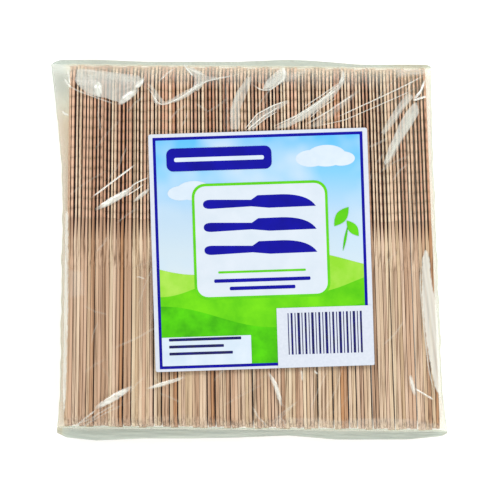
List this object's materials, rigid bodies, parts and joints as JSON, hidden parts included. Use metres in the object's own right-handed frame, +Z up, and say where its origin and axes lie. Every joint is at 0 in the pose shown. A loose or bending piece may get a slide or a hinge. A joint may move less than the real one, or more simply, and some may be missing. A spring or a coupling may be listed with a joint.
{
  "type": "bagged wooden knife pack",
  "caption": "Clear film bag of disposable birch knives standing on edge side by side, with a printed paper label on the front.",
  "frame": {"origin": "on the ground under the middle of the whole pack, which lies on its back", "axes": "+X across the row of knives, +Y from the handle ends towards the blade tips, +Z up, out of the labelled front"},
  "size_m": [0.182, 0.176, 0.0216],
  "materials": {
    "clear_film": "clear glossy film, wrinkled",
    "label_paper": "coated paper, printed on the front",
    "birch": "bare stamped birch, fine grain along the knife"
  },
  "bodies": {
    "root": {"film_bag": "clear_film", "label": "label_paper", "knife_pair_01": "birch", "knife_pair_02": "birch", "knife_pair_03": "birch", "knife_pair_04": "birch", "knife_pair_05": "birch", "knife_pair_06": "birch", "knife_pair_07": "birch", "knife_pair_08": "birch", "knife_pair_09": "birch", "knife_pair_10": "birch", "knife_pair_11": "birch", "knife_pair_12": "birch", "knife_pair_13": "birch", "knife_pair_14": "birch", "knife_pair_15": "birch", "knife_pair_16": "birch", "knife_pair_17": "birch", "knife_pair_18": "birch", "knife_pair_19": "birch", "knife_pair_20": "birch", "knife_pair_21": "birch", "knife_pair_22": "birch", "knife_pair_23": "birch", "knife_pair_24": "birch", "knife_pair_25": "birch", "knife_pair_26": "birch", "knife_pair_27": "birch", "knife_pair_28": "birch", "knife_pair_29": "birch", "knife_pair_30": "birch", "knife_pair_31": "birch", "knife_pair_32": "birch", "knife_pair_33": "birch", "knife_pair_34": "birch", "knife_pair_35": "birch", "knife_pair_36": "birch", "knife_pair_37": "birch", "knife_pair_38": "birch", "knife_pair_39": "birch", "knife_pair_40": "birch", "knife_pair_41": "birch", "knife_pair_42": "birch", "knife_pair_43": "birch", "knife_pair_44": "birch", "knife_pair_45": "birch", "knife_pair_46": "birch", "knife_pair_47": "birch", "knife_pair_48": "birch", "knife_pair_49": "birch", "knife_pair_50": "birch"}
  },
  "joints": []
}
